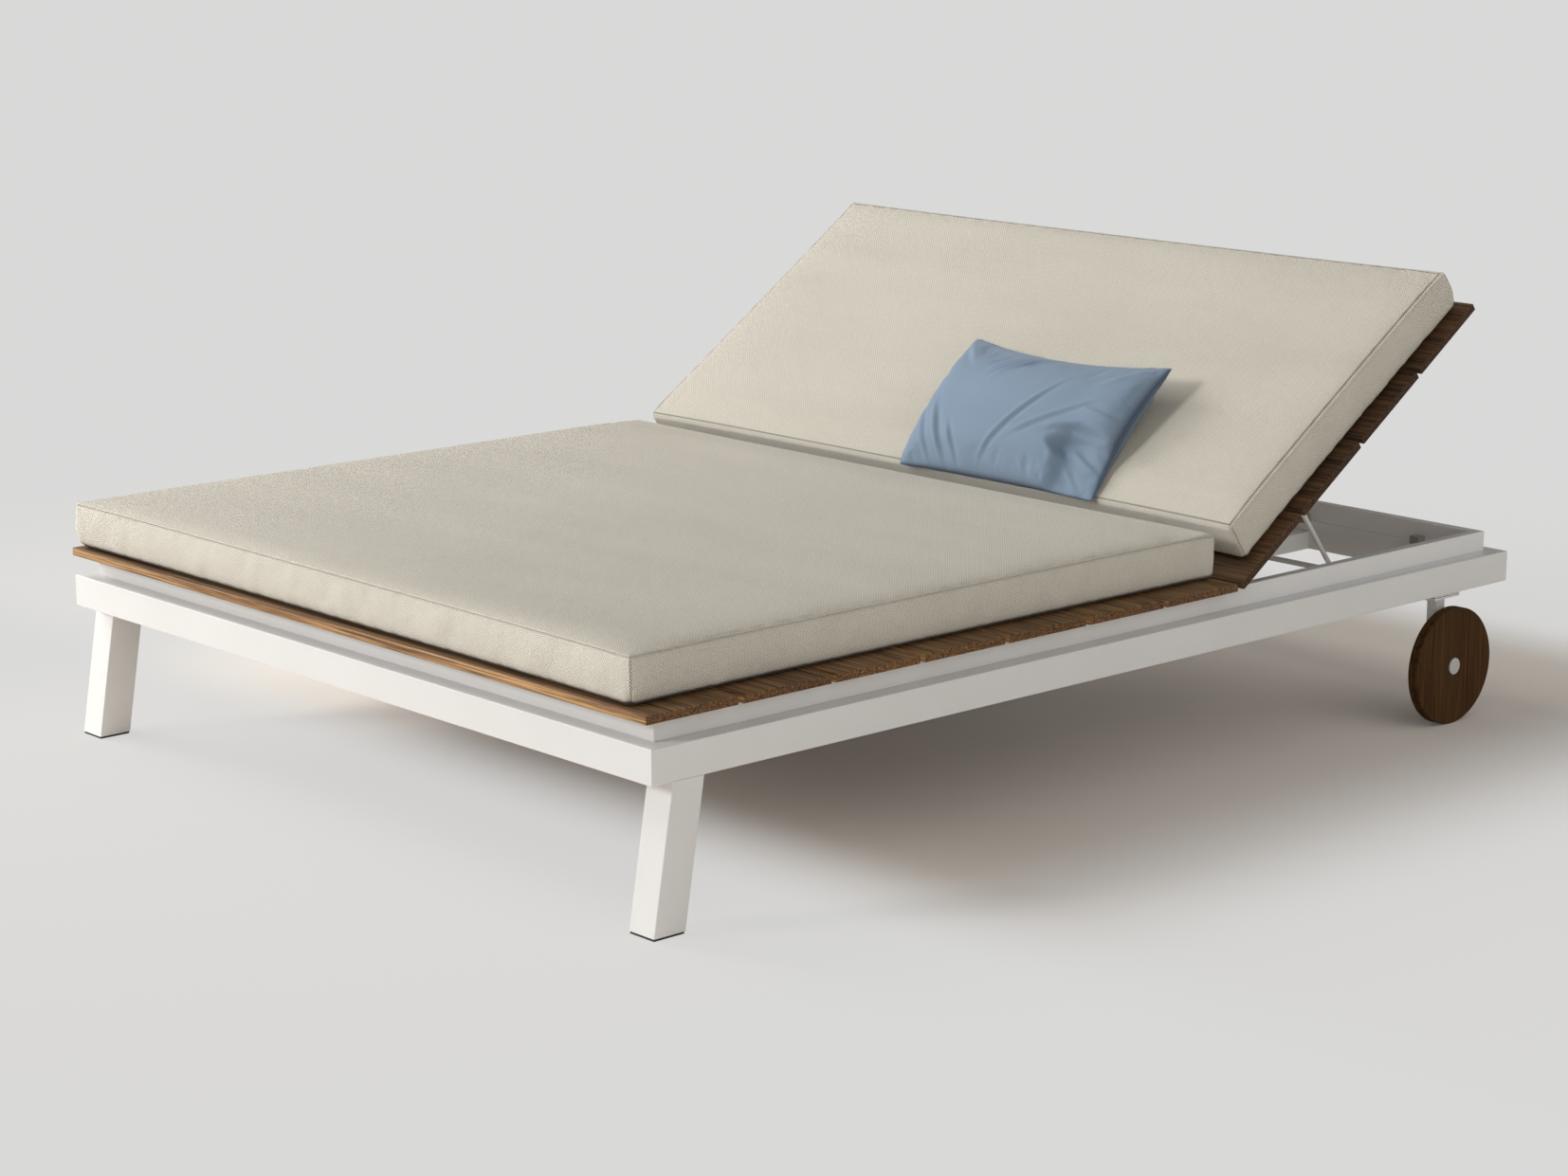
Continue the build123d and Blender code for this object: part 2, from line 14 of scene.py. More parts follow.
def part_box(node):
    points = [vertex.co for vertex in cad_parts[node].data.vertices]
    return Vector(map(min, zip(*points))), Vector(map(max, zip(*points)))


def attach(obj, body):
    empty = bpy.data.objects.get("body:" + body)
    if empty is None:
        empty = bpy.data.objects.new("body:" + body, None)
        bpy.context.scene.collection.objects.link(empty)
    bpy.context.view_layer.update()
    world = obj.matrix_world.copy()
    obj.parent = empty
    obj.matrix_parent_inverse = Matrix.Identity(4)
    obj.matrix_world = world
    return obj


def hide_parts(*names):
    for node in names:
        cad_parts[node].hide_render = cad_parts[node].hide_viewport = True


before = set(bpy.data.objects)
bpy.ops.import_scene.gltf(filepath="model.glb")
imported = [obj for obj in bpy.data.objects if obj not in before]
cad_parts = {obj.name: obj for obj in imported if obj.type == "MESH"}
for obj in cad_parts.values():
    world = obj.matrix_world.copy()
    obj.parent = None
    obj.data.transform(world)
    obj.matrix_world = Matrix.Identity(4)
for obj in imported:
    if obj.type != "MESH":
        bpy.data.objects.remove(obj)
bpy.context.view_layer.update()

# %% [markdown]
# The backrest turns on one hinge. Everything that lies on it is easier to shape flat,
# as it would lie on a bench, and then to stand up at the backrest's own angle.
# The seat lies level, so it needs no such help.

# %% Working plane of the backrest
hinge_y, hinge_z = 0.2955, 0.325
rest_angle = math.radians(34.4)


def on_back(points):
    """x stays, run goes up the backrest from the hinge axis, height stands off it."""
    x, run, height = np.array(points, float).T
    c, s = math.cos(rest_angle), math.sin(rest_angle)
    return np.stack([x, hinge_y + run * c - height * s, hinge_z + run * s + height * c], 1)


print("hinge axis at", hinge_y, hinge_z)

# %% [markdown]
# The picture was taken with a long lens from a little above, so the lines hardly
# converge. A long lens far away gives the same calm shape here. In Blender a camera, like
# a lamp or a mesh, is data that only shows once an object holds it, hence the helper.

# %% Camera
camera_down, camera_turn = 12.694, 47.78


def put_in_scene(name, data):
    """A new object in the scene that holds a mesh, a lamp or a camera."""
    made = bpy.data.objects.new(name, data)
    bpy.context.scene.collection.objects.link(made)
    return made


camera_data = bpy.data.cameras.new("camera")
camera = put_in_scene("camera", camera_data)
camera_data.sensor_width = 36.0
camera_data.lens = 79.07
camera.location = (4.510, -4.135, 1.625)
camera.rotation_euler = (math.radians(90 - camera_down), 0, math.radians(camera_turn))
bpy.context.scene.camera = camera
bpy.context.scene.view_settings.view_transform = "Standard"
print("lens in mm:", round(camera_data.lens, 2))

# %% [markdown]
# The picture is lit by a wide low light that reaches round from the left side to the
# foot end. One lamp would give one hard shadow, so two sun lamps with wide angles stand
# at its two ends, and a nearer panel between them lets the light fall off to the right.

# %% Lamps
sun_tint = (1.0, 0.995, 0.985)


def stand(name, lamp, direction, place=(0, 0, 0)):
    """Set up a lamp that shines along a direction."""
    holder = put_in_scene(name, lamp)
    holder.location = place
    holder.rotation_euler = Vector(direction).to_track_quat("-Z", "Y").to_euler()


def soft_sun(name, turn, height, strength, width):
    """turn is the way the light travels over the floor, height how steeply it comes down."""
    lamp = bpy.data.lights.new(name, "SUN")
    lamp.energy, lamp.angle, lamp.color = strength, math.radians(width), sun_tint
    turn, height = math.radians(turn), math.radians(height)
    flat = math.cos(height)
    stand(name, lamp, (flat * math.cos(turn), flat * math.sin(turn), -math.sin(height)))


def soft_panel(name, place, aim, size, power):
    """A square lamp at a place that shines on its aim."""
    lamp = bpy.data.lights.new(name, "AREA")
    lamp.energy, lamp.size = power, size
    stand(name, lamp, Vector(aim) - Vector(place), place)


soft_sun("foot_light", turn=62, height=22, strength=1.62, width=16)
soft_sun("left_light", turn=10, height=27, strength=0.94, width=16)
soft_panel("left_panel", place=(-2.7, -1.5, 2.2), aim=(0, 0, 0.3), size=2.0, power=70)

# %% [markdown]
# The room itself sends light back: some from the ceiling, more from the pale wall on the
# right. The world does that with two soft lobes, each strongest along one direction.

# %% Room light
world = bpy.data.worlds.new("studio")
bpy.context.scene.world = world
world.use_nodes = True
nodes, links = world.node_tree.nodes, world.node_tree.links
nodes.clear()
where = nodes.new("ShaderNodeTexCoord")
lobe_narrowness = 3.0


def lobe(towards, strength):
    """Light that is strongest towards one direction and gone at its sides and back."""
    facing = nodes.new("ShaderNodeVectorMath")
    facing.operation = "DOT_PRODUCT"
    facing.inputs[1].default_value = Vector(towards).normalized()
    links.new(where.outputs["Generated"], facing.inputs[0])
    value = facing.outputs["Value"]
    for operation, number in (("MAXIMUM", 0.0), ("POWER", lobe_narrowness), ("MULTIPLY", strength)):
        step = nodes.new("ShaderNodeMath")
        step.operation = operation
        step.inputs[1].default_value = number
        links.new(value, step.inputs[0])
        value = step.outputs[0]
    return value


total = nodes.new("ShaderNodeMath")
links.new(lobe(towards=(0, 0, 1), strength=0.32), total.inputs[0])
links.new(lobe(towards=(1, -0.2, 0.25), strength=1.32), total.inputs[1])
out, back = nodes.new("ShaderNodeOutputWorld"), nodes.new("ShaderNodeBackground")
back.inputs["Color"].default_value = (1.0, 0.98, 0.95, 1)
links.new(total.outputs[0], back.inputs["Strength"])
links.new(back.outputs[0], out.inputs[0])
print("room light has", len(nodes), "nodes")

# %% [markdown]
# The ground is one wide flat square. Its rim lies outside the picture, and only a camera
# that stands clearly lower than this one would see it. It belongs to the picture and not
# to the lounger, so it is put on the stage.

# %% Floor
floor_reach = 60.0
floor_corners = [(x * floor_reach, y * floor_reach, 0) for x, y in ((-1, -1), (1, -1), (1, 1), (-1, 1))]
floor_mesh = bpy.data.meshes.new("floor")
floor_mesh.from_pydata(floor_corners, [], [(0, 1, 2, 3)])
floor = put_in_scene("floor", floor_mesh)
print("floor reaches", floor_reach, "m each way")

# %% [markdown]
# Every finish below is drawn with nodes from the place of a point on the piece, so it
# needs no picture. These short helpers save typing: each adds one or two nodes and joins
# them to what is there.

# %% Helpers for finishes
def start_finish(name):
    """A new material, its node tree and its main shader."""
    made = bpy.data.materials.new(name)
    made.use_nodes = True
    tree = made.node_tree
    return made, tree, tree.nodes["Principled BSDF"]


def add(tree, kind, values=(), **settings):
    """A new node with its settings and the values of its inputs."""
    made = tree.nodes.new("ShaderNode" + kind)
    for key, value in settings.items():
        setattr(made, key, value)
    for key, value in dict(values).items():
        made.inputs[key].default_value = value
    return made


def feed(tree, socket, value):
    """Join another node's output to a socket, or set the socket to a plain value."""
    if hasattr(value, "is_linked"):
        tree.links.new(value, socket)
    else:
        socket.default_value = value


def stretch(tree, vector, scale, turn=(0, 0, 0)):
    """Scale and turn places, so that a pattern drawn from them is stretched."""
    made = add(tree, "Mapping", {"Scale": scale, "Rotation": turn})
    tree.links.new(vector, made.inputs["Vector"])
    return made.outputs["Vector"]


def places(tree, scale=(1, 1, 1), turn=(0, 0, 0)):
    """Place on the piece in metres, stretched and turned."""
    return stretch(tree, add(tree, "TexCoord").outputs["Object"], scale, turn)


def noise(tree, vector, scale, detail=3.0, roughness=0.5, distortion=0.0):
    """A cloudy value round 0.5."""
    values = {"Scale": scale, "Detail": detail, "Roughness": roughness, "Distortion": distortion}
    made = add(tree, "TexNoise", values)
    tree.links.new(vector, made.inputs["Vector"])
    return made.outputs["Fac"]


def ramp(tree, value, stops):
    """A colour for each value, between the stops that are given as value and colour."""
    made = add(tree, "ValToRGB")
    while len(made.color_ramp.elements) < len(stops):
        made.color_ramp.elements.new(0.5)
    for element, (place, colour) in zip(made.color_ramp.elements, stops):
        element.position = place
        element.color = (*colour, 1)
    tree.links.new(value, made.inputs["Fac"])
    return made.outputs["Color"]


def spread(tree, value, low, high, start=0.0, end=1.0, **settings):
    """Turn a value that goes from start to end into one that goes from low to high."""
    values = {"From Min": start, "From Max": end, "To Min": low, "To Max": high}
    made = add(tree, "MapRange", values, **settings)
    tree.links.new(value, made.inputs["Value"])
    return made.outputs[0]


def blend_colours(tree, how, share, first, second):
    """Two colours in one, with a share from 0 to 1 of the second."""
    made = add(tree, "Mix", data_type="RGBA", blend_type=how)
    for number, value in ((0, share), (6, first), (7, second)):
        feed(tree, made.inputs[number], value)
    return made.outputs[2]


def maths(tree, how, first, second=0.0):
    """One sum with one or two values."""
    made = add(tree, "Math", operation=how)
    feed(tree, made.inputs[0], first)
    feed(tree, made.inputs[1], second)
    return made.outputs[0]


def raise_surface(tree, shader, height, depth, strength):
    """Fine relief that only the light sees, for grain and threads."""
    bump = add(tree, "Bump", {"Strength": strength, "Distance": depth})
    tree.links.new(height, bump.inputs["Height"])
    tree.links.new(bump.outputs[0], shader.inputs["Normal"])


# %% [markdown]
# The floor is matt and a warm pale. To the camera a share of it is a plain glow: very little
# under the lounger, where the shadow lies, and more past its foot end and its sides.
# Far away it is all glow, so the ground ends in one even grey, as in the picture.
# The glow takes no part in lighting the lounger.

# %% Floor finish
shadow_middle, rest_beside, most_kept = 0.45, 0.14, 0.95
floor_finish, tree, shader = start_finish("studio_floor")
shader.inputs["Base Color"].default_value = (0.88, 0.815, 0.735, 1)
shader.inputs["Roughness"].default_value = 0.9
shader.inputs["Specular IOR Level"].default_value = 0.1
glow = add(tree, "Emission", {"Color": (0.694, 0.694, 0.690, 1)})
spot = add(tree, "TexCoord").outputs["Object"]
far, axes = add(tree, "VectorMath", operation="LENGTH"), add(tree, "SeparateXYZ")
tree.links.new(spot, far.inputs[0])
tree.links.new(spot, axes.inputs[0])


def kept_floor(distance, start, end, rest):
    """1 near the lounger, falling to rest between two distances."""
    return spread(tree, distance, 1.0, rest, start, end, interpolation_type="SMOOTHSTEP")


sideways = maths(tree, "ABSOLUTE", axes.outputs[0])
lengthways = maths(tree, "ABSOLUTE", maths(tree, "SUBTRACT", axes.outputs[1], shadow_middle))
beside = kept_floor(sideways, 0.82, 1.42, rest_beside)
past_ends = kept_floor(lengthways, 0.88, 1.22, rest_beside)
far_off = kept_floor(far.outputs["Value"], 1.5, 3.0, 0.0)
kept = maths(tree, "MULTIPLY", maths(tree, "MULTIPLY", beside, past_ends), far_off)
share = maths(tree, "SUBTRACT", 1.0, maths(tree, "MULTIPLY", kept, most_kept))
to_camera = add(tree, "LightPath").outputs["Is Camera Ray"]
part = add(tree, "MixShader")
tree.links.new(maths(tree, "MULTIPLY", to_camera, share), part.inputs[0])
tree.links.new(shader.outputs[0], part.inputs[1])
tree.links.new(glow.outputs[0], part.inputs[2])
tree.links.new(part.outputs[0], tree.nodes["Material Output"].inputs["Surface"])
floor_mesh.materials.append(floor_finish)
print("finish:", floor_finish.name)

# %% [markdown]
# Powder coat is paint baked on as dust. It is tough and even, with a very fine
# orange-peel skin and a satin shine. A small bump and a slow change in roughness are
# enough, because a coat that looked blotchy would read as dirty.

# %% Powder coat
white_coat, tree, shader = start_finish("white_powder_coat")
where = places(tree)
slow = noise(tree, where, scale=6.0, detail=2.0)
tint = ramp(tree, slow, [(0.3, (0.755, 0.755, 0.750)), (0.7, (0.78, 0.78, 0.777))])
tree.links.new(tint, shader.inputs["Base Color"])
tree.links.new(spread(tree, slow, 0.40, 0.50), shader.inputs["Roughness"])
peel = noise(tree, where, scale=900.0, detail=2.0)
raise_surface(tree, shader, peel, depth=0.00006, strength=0.35)
print("finish:", white_coat.name)

# %% [markdown]
# Teak is golden brown with long dark grain lines and fine pores. A sawn slat shows the
# same lines stretched along its length on every long face, and the cut end is darker
# because it drinks more oil. So one noise is stretched hard along the slat, and the end
# is darkened where the surface looks along X. Where the surface looks along Y it is made
# about twice as light, which is painted light on the long edges that face the lamps. The
# backrest's slats get a copy at about half the brightness, with its ends darker still,
# which is painted shade for the shade they lie in under the back cushion.

# %% Teak
def teak(name, tilt, tint_and_shade, end_shade, front_painted_light):
    """tint_and_shade tones the whole board and, where it darkens it, is painted shade;
    end_shade darkens its cut ends, and front_painted_light is painted light on faces along Y.
    """
    made, tree, shader = start_finish(name)
    board = places(tree, turn=(-tilt, 0, 0))
    long_grain = stretch(tree, board, (2.6, 190.0, 260.0))
    bands = noise(tree, long_grain, scale=1.0, detail=5.0, roughness=0.62, distortion=0.6)
    short_grain = stretch(tree, board, (7.0, 300.0, 500.0))
    pores = noise(tree, short_grain, scale=1.0, roughness=0.6)
    band_stops = [
        (0.32, (0.085, 0.042, 0.018)),
        (0.46, (0.195, 0.110, 0.048)),
        (0.57, (0.285, 0.175, 0.082)),
        (0.72, (0.40, 0.268, 0.142)),
    ]
    speck_stops = [(0.38, (0.26, 0.21, 0.17)), (0.50, (1.0, 1.0, 1.0)), (0.66, (1.18, 1.15, 1.08))]
    wood = ramp(tree, bands, band_stops)
    wood = blend_colours(tree, "MULTIPLY", 0.85, wood, ramp(tree, pores, speck_stops))
    # a slow noise gives each board its own tone
    boards = noise(tree, places(tree, (0.6, 5.3, 5.3)), scale=1.0, detail=0.0)
    tone = ramp(tree, boards, [(0.35, (0.80, 0.76, 0.72)), (0.65, (1.08, 1.06, 1.02))])
    wood = blend_colours(tree, "MULTIPLY", 1.0, wood, tone)
    # darker cut ends where the surface looks along X, painted light where it looks along Y
    side = add(tree, "SeparateXYZ")
    tree.links.new(add(tree, "TexCoord").outputs["Normal"], side.inputs[0])
    for axis, shade in ((0, end_shade), (1, front_painted_light)):
        share = maths(tree, "POWER", maths(tree, "ABSOLUTE", side.outputs[axis]), 6.0)
        shaded = blend_colours(tree, "MULTIPLY", 1.0, wood, (*shade, 1))
        wood = blend_colours(tree, "MIX", share, wood, shaded)
    # the whole board's tone, which on the backrest is painted shade
    wood = blend_colours(tree, "MULTIPLY", 1.0, wood, (*tint_and_shade, 1))
    tree.links.new(wood, shader.inputs["Base Color"])
    rough = spread(tree, bands, 0.72, 0.52, start=0.3, end=0.7)
    tree.links.new(rough, shader.inputs["Roughness"])
    shader.inputs["Specular IOR Level"].default_value = 0.35
    relief = maths(tree, "ADD", bands, maths(tree, "MULTIPLY", pores, 0.6))
    raise_surface(tree, shader, relief, depth=0.0005, strength=0.5)
    return made


# the seat's slats: their faces along Y get about twice the brightness as painted light
teak_flat = teak(
    "teak_seat_slats_painted_light", tilt=0.0, tint_and_shade=(1.0, 0.97, 0.93),
    end_shade=(0.74, 0.66, 0.60), front_painted_light=(2.1, 2.15, 2.2))
# the backrest's slats: about half as bright, ends darker still, all painted shade
teak_back = teak(
    "teak_back_slats_shaded", tilt=rest_angle, tint_and_shade=(0.50, 0.45, 0.41),
    end_shade=(0.62, 0.56, 0.50), front_painted_light=(1.0, 1.0, 1.0))
print("finishes:", teak_flat.name, teak_back.name)

# %% [markdown]
# The wheels are a darker wood with the grain standing upright when the lounger is
# parked. The same idea as the teak works, with the stretch along Z.

# %% Wheel wood
wheel_wood, tree, shader = start_finish("dark_wheel_wood")
long_grain = places(tree, (140.0, 240.0, 3.2))
bands = noise(tree, long_grain, scale=1.0, detail=5.0, roughness=0.6, distortion=0.5)
short_grain = places(tree, (200.0, 500.0, 9.0))
pores = noise(tree, short_grain, scale=1.0, detail=2.0, roughness=0.6)
wheel_stops = [
    (0.32, (0.042, 0.018, 0.006)),
    (0.50, (0.074, 0.035, 0.011)),
    (0.70, (0.108, 0.054, 0.018)),
]
wood = ramp(tree, bands, wheel_stops)
specks = ramp(tree, pores, [(0.36, (0.4, 0.36, 0.32)), (0.55, (1.0, 1.0, 1.0))])
wood = blend_colours(tree, "MULTIPLY", 0.7, wood, specks)
tree.links.new(wood, shader.inputs["Base Color"])
shader.inputs["Roughness"].default_value = 0.65
shader.inputs["Specular IOR Level"].default_value = 0.1
raise_surface(tree, shader, pores, depth=0.0003, strength=0.5)
print("finish:", wheel_wood.name)

# %% [markdown]
# The small parts are rubber, plastic and plain steel. Each gets its own roughness and
# a fine grain, so that it still reads as its material when the view is close.

# %% Small parts
def plain_finish(name, colour, roughness, metal, grain, depth):
    """One colour with a fine grain, in grains to the metre, and its depth in metres."""
    made, tree, shader = start_finish(name)
    value = noise(tree, places(tree), grain)
    dark = tuple(c * 0.86 for c in colour)
    tree.links.new(ramp(tree, value, [(0.35, dark), (0.65, colour)]), shader.inputs["Base Color"])
    rough = spread(tree, value, roughness * 0.9, min(1.0, roughness * 1.1))
    tree.links.new(rough, shader.inputs["Roughness"])
    shader.inputs["Metallic"].default_value = metal
    raise_surface(tree, shader, value, depth, strength=0.4)
    return made


finishes = {
    "white_frame": white_coat,
    "teak": teak_flat,
    "wheel_wood": wheel_wood,
    # name, colour, roughness, metal, grains to the metre, depth
    "dark_rubber": plain_finish("dark_rubber", (0.035, 0.034, 0.033), 0.75, 0.0, 400.0, 0.0002),
    "grey_rubber": plain_finish("grey_rubber", (0.34, 0.31, 0.27), 0.8, 0.0, 400.0, 0.0002),
    "black_plastic": plain_finish("black_plastic", (0.04, 0.04, 0.041), 0.5, 0.0, 900.0, 0.0001),
    "cap_metal": plain_finish("hub_cap_metal", (0.72, 0.715, 0.70), 0.38, 0.6, 500.0, 0.00005),
    "steel": plain_finish("bolt_steel", (0.60, 0.59, 0.57), 0.34, 1.0, 700.0, 0.00005),
}
for name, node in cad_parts.items():
    for slot in node.material_slots:
        kind = slot.material.name.split(".")[0]
        if kind == "teak" and name.startswith("back_"):
            slot.material = teak_back
        elif kind in finishes:
            slot.material = finishes[kind]
        else:
            print("left to its own piece:", name, kind)

# %% [markdown]
# The cushions are foam in an outdoor cover. The cloth is a coarse weave: one thread over,
# one under, each a few millimetres wide. The thread that runs across is a little darker
# than the one that runs along. It is drawn in the cover's own flat coordinates in metres,
# so the threads run straight along every panel. A short fibre sheen and a slow change of
# tone keep it from looking printed. The side bands and the beads get painted light, a
# lighter tone of the same cloth, and the seams and the underside get painted shade. Each
# has its mark on the mesh.

# %% Woven cover cloth
side_painted_light, bead_painted_highlight = (1.16, 1.18, 1.21, 1), (1.16, 1.16, 1.15, 1)


def woven_cloth(name, thread, light, shade, seam_shade, sheen, depth, under, slow_scale=7.0):
    """thread is its width in metres, under the tone of the thread that runs across."""
    made, tree, shader = start_finish(name)
    flat = add(tree, "UVMap", uv_map="cloth")
    grid = stretch(tree, flat.outputs[0], (1 / thread, 1 / thread, 1))
    wobble = noise(tree, places(tree), scale=40.0, detail=2.0)
    moved = add(tree, "VectorMath", operation="ADD")
    tree.links.new(grid, moved.inputs[0])
    tree.links.new(maths(tree, "MULTIPLY", wobble, 0.7), moved.inputs[1])
    parts = add(tree, "SeparateXYZ")
    tree.links.new(moved.outputs[0], parts.inputs[0])
    squares = add(tree, "TexChecker", {"Scale": 1.0, "Color1": (1, 1, 1, 1), "Color2": (0, 0, 0, 1)})
    tree.links.new(moved.outputs[0], squares.inputs["Vector"])
    over = add(tree, "Mix", data_type="FLOAT")
    tree.links.new(squares.outputs["Fac"], over.inputs[0])
    for axis, socket in ((0, over.inputs[2]), (1, over.inputs[3])):
        wave = maths(tree, "SINE", maths(tree, "MULTIPLY", parts.outputs[axis], math.pi))
        tree.links.new(maths(tree, "ABSOLUTE", wave), socket)
    height = over.outputs[0]
    colour = ramp(tree, height, [(0.0, shade), (0.5, light)])
    colour = blend_colours(tree, "MULTIPLY", squares.outputs["Fac"], colour, (under, under, under, 1))
    slow = noise(tree, places(tree, (0.3, 1.3, 1.3)), slow_scale)
    slow_tone = ramp(tree, slow, [(0.3, (0.96, 0.96, 0.955)), (0.7, (1.02, 1.02, 1.02))])
    colour = blend_colours(tree, "MULTIPLY", 1.0, colour, slow_tone)
    # painted light: the side bands and the beads are made lighter than the rest of the cloth
    for mark, tone in (("side_band_painted_light", side_painted_light), ("bead", bead_painted_highlight)):
        share = add(tree, "Attribute", attribute_name=mark).outputs["Fac"]
        colour = blend_colours(tree, "MULTIPLY", share, colour, tone)
    # the seam mark is painted shade: in the seam grooves and round the underside
    seam = add(tree, "Attribute", attribute_name="seam").outputs["Fac"]
    seam_share = maths(tree, "MULTIPLY", seam, 0.92)
    colour = blend_colours(tree, "MIX", seam_share, colour, (*seam_shade, 1))
    tree.links.new(colour, shader.inputs["Base Color"])
    shader.inputs["Roughness"].default_value = 0.88
    shader.inputs["Specular IOR Level"].default_value = 0.25
    shader.inputs["Sheen Weight"].default_value = sheen
    shader.inputs["Sheen Roughness"].default_value = 0.45
    raise_surface(tree, shader, height, depth, strength=1.0)
    return made


cover_cloth = woven_cloth(
    "greige_cover_cloth", thread=0.0027, light=(0.87, 0.815, 0.705), shade=(0.31, 0.285, 0.232),
    seam_shade=(0.075, 0.066, 0.052), sheen=0.12, depth=0.0012, under=0.80)
pillow_cloth = woven_cloth(
    "blue_linen", thread=0.0014, light=(0.232, 0.312, 0.415), shade=(0.155, 0.215, 0.295),
    seam_shade=(0.035, 0.055, 0.095), sheen=0.15, depth=0.0002, under=0.94, slow_scale=12.0)
thread_finish = plain_finish("pale_thread", (0.74, 0.70, 0.62), 0.7, 0.0, 1500.0, 0.00005)
blue_thread = plain_finish("blue_thread", (0.30, 0.40, 0.52), 0.7, 0.0, 1500.0, 0.00005)
print("cloths:", cover_cloth.name, pillow_cloth.name)

# %% [markdown]
# A boxed cushion is sewn from a top, a bottom and four side bands. Here it starts as
# a grid that covers all six panels, fine near the edges and coarse in the middle. A
# plain cube with a bevel would be quicker, but then the seam could not follow the edge
# and the cloth could not be laid out in its own flat coordinates.

# %% Grid of a boxed cushion
def spaced(length, fine, step):
    """Places from 0 to length: the fine list at both ends, even steps between."""
    inner = length - 2 * fine[-1]
    count = max(2, round(inner / step))
    middle = [fine[-1] + inner * i / count for i in range(1, count)]
    return np.array([*fine, *middle, *[length - f for f in reversed(fine)]])


def box_grid(xs, ys, zs):
    """Points, four-sided faces and cloth coordinates of a closed box of panels."""
    lists = (xs, ys, zs)
    nx, ny, nz = (len(values) - 1 for values in lists)
    index, points, faces, cloth = {}, [], [], []

    def face(corners, flat_axes):
        for corner in corners:
            if corner not in index:
                index[corner] = len(points)
                points.append([values[n] for values, n in zip(lists, corner)])
        faces.append([index[corner] for corner in corners])
        cloth.extend([lists[axis][corner[axis]] for axis in flat_axes] for corner in corners)

    for i in range(nx):
        for j in range(ny):
            face([(i, j, nz), (i + 1, j, nz), (i + 1, j + 1, nz), (i, j + 1, nz)], (0, 1))
            face([(i, j, 0), (i, j + 1, 0), (i + 1, j + 1, 0), (i + 1, j, 0)], (0, 1))
    for k in range(nz):
        for i in range(nx):
            face([(i, 0, k), (i + 1, 0, k), (i + 1, 0, k + 1), (i, 0, k + 1)], (0, 2))
            face([(i, ny, k), (i, ny, k + 1), (i + 1, ny, k + 1), (i + 1, ny, k)], (0, 2))
        for j in range(ny):
            face([(0, j, k), (0, j, k + 1), (0, j + 1, k + 1), (0, j + 1, k)], (1, 2))
            face([(nx, j, k), (nx, j + 1, k), (nx, j + 1, k + 1), (nx, j, k + 1)], (1, 2))
    return np.array(points), faces, np.array(cloth)


def smooth_step(low, high, value):
    """0 before low, 1 past high, and a soft rise between."""
    t = np.clip((value - low) / (high - low), 0, 1)
    return t * t * (3 - 2 * t)


def in_turn(chosen, u, v):
    """The chosen points in their order round the middle."""
    return chosen[np.argsort(np.arctan2(v[chosen], u[chosen]))]


def make_piece(name, points, faces, material, cloth=None, **marks):
    """A smooth mesh object. Each mark is a value at every point that a finish can read."""
    mesh = bpy.data.meshes.new(name)
    mesh.from_pydata([tuple(p) for p in points], [], faces)
    if cloth is not None:
        layer = mesh.uv_layers.new(name="cloth")
        layer.data.foreach_set("uv", np.array(cloth, np.float32).ravel())
    for label, values in marks.items():
        mark = mesh.attributes.new(label, "FLOAT", "POINT")
        mark.data.foreach_set("value", np.array(values, np.float32))
    mesh.shade_smooth()
    mesh.materials.append(material)
    return put_in_scene(name, mesh)


# %% [markdown]
# Foam pushes its cover outward, and the seams hold it back. A cloth simulation with a
# little air pressure gives just that. It runs on a coarse copy in which the seams and
# the underside are pinned, and only how far each point moved is kept. The fine grid
# then takes these moves over, so its sharp seams stay where they were sewn.

# %% Let the foam push the cover out
def blow_up(points, faces, pinned, pressure, slack, cap, steps=20, stiffness=15.0, bending=0.5):
    """Moves of the points after a short cloth run, none longer than cap."""
    piece = make_piece("trial_cover", points, faces, cover_cloth)
    group = piece.vertex_groups.new(name="sewn")
    for i, weight in enumerate(pinned):
        if weight > 0:
            group.add([i], float(weight), "REPLACE")
    cloth = piece.modifiers.new("cover", "CLOTH")
    values = cloth.settings
    values.quality = 8
    values.use_pressure, values.uniform_pressure_force = True, pressure
    values.effector_weights.gravity = 0
    values.vertex_group_mass = "sewn"
    values.shrink_min = -slack
    values.tension_stiffness = values.compression_stiffness = stiffness
    values.bending_stiffness = bending
    cloth.collision_settings.use_collision = False
    scene = bpy.context.scene
    for step in range(1, steps + 1):
        scene.frame_set(step)
    evaluated = piece.evaluated_get(bpy.context.evaluated_depsgraph_get())
    moved = np.array([v.co for v in evaluated.data.vertices])
    scene.frame_set(1)
    bpy.data.objects.remove(piece)
    move = moved - points
    far = np.linalg.norm(move, axis=1, keepdims=True)
    move *= cap * np.tanh(far / cap) / np.maximum(far, 1e-9)
    print("cover moved by up to", round(float(np.abs(move).max() * 1000), 1), "mm")
    return move


def carry_over(coarse, move, fine):
    """Moves for the fine points, a mean of the nearest coarse ones."""
    neighbours, least_distance = 4, 1e-4
    tree = KDTree(len(coarse))
    for i, p in enumerate(coarse):
        tree.insert(p, i)
    tree.balance()
    result = np.zeros_like(fine)
    for i, p in enumerate(fine):
        found = tree.find_n(p, neighbours)
        weight = np.array([1 / (f[2] + least_distance) ** 2 for f in found])
        result[i] = (move[[f[1] for f in found]] * weight[:, None]).sum(0) / weight.sum()
    return result


# %% [markdown]
# The finished cushion: the foam rounds the edges, the top is a little crowned, and the
# sides are drawn in between the corners. The seam is two things side by side. A small
# bead stands up where the two panels are turned in, and a narrow groove lies where the
# thread pulls the cloth down. Both are real shape, so they also show in the plain mesh.
# Small puckers run away from the seam, where the thread gathers the cloth. The end that
# lies against the other cushion is rounder and calmer, because the two come close there
# when the backrest stands upright.

